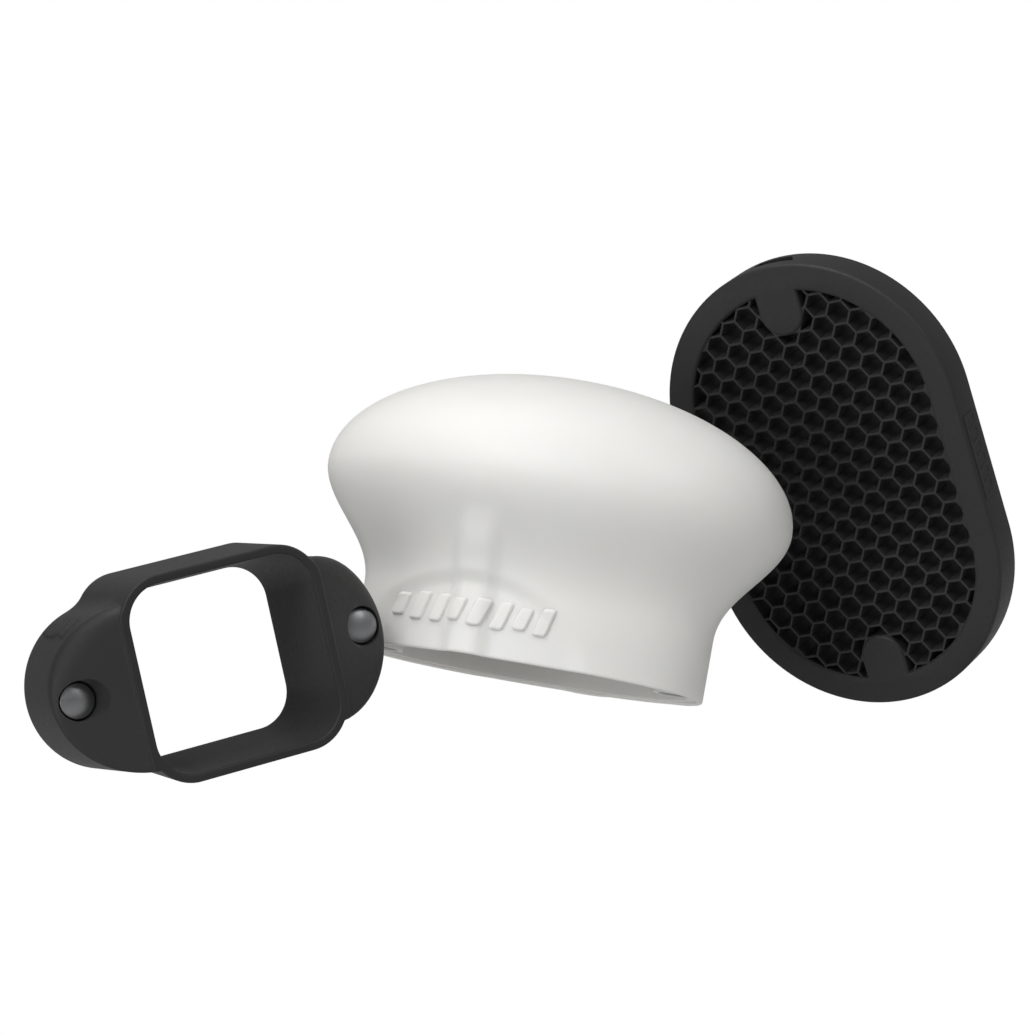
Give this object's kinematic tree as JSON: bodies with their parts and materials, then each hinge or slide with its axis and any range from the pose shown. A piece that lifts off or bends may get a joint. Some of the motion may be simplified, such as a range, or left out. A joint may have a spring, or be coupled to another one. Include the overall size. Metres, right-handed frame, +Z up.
{
  "type": "magnetic flash modifier kit",
  "caption": "Camera flash light-shaping kit: stretch silicone grip with magnets, white silicone dome diffuser and rounded black honeycomb grid, laid out side by side.",
  "frame": {"origin": "centre of the grip's square socket, half way through its depth", "axes": "+X along the line through the grip's two magnets, +Y through the socket towards the grip's front face, +Z up"},
  "size_m": [0.2542, 0.113, 0.1246],
  "materials": {
    "black_silicone": "matt moulded silicone",
    "white_silicone": "satin translucent silicone",
    "black_plastic": "fine-textured moulding",
    "nickel": "satin nickel plate"
  },
  "bodies": {
    "grip_right_half": {"grip_right": "black_silicone", "grip_band_top": "black_silicone", "grip_band_bottom": "black_silicone", "grip_cap_right": "nickel", "grip_magnet_right": "nickel"},
    "grip_left_half": {"grip_left": "black_silicone", "grip_cap_left": "nickel", "grip_magnet_left": "nickel"},
    "dome": {"dome_shell": "white_silicone", "dome_insert": "white_silicone", "dome_magnet_left": "nickel", "dome_magnet_right": "nickel", "dome_cap_left": "black_plastic", "dome_cap_right": "black_plastic"},
    "grid": {"grid_rim": "black_silicone", "grid_core": "black_silicone", "grid_magnet_upper": "nickel", "grid_magnet_lower": "nickel", "grid_plug_upper": "black_plastic", "grid_plug_lower": "black_plastic"}
  },
  "joints": [
    {"name": "grip_stretch", "type": "slide", "parent": "grip_right_half", "child": "grip_left_half", "axis": [-1, 0, 0], "range_m": [0, 0.0204], "stiffness_N_per_m": 1500, "deforming": ["grip_band_top", "grip_band_bottom"]},
    {"name": "dome_pull", "type": "slide", "parent": "grip_right_half", "child": "dome", "axis": [-0.0179, -0.302, 0.9532], "range_m": [0, 0.06]},
    {"name": "grid_pull", "type": "slide", "parent": "grip_right_half", "child": "grid", "axis": [0.842, 0.5143, 0.163], "range_m": [0, 0.05]}
  ]
}
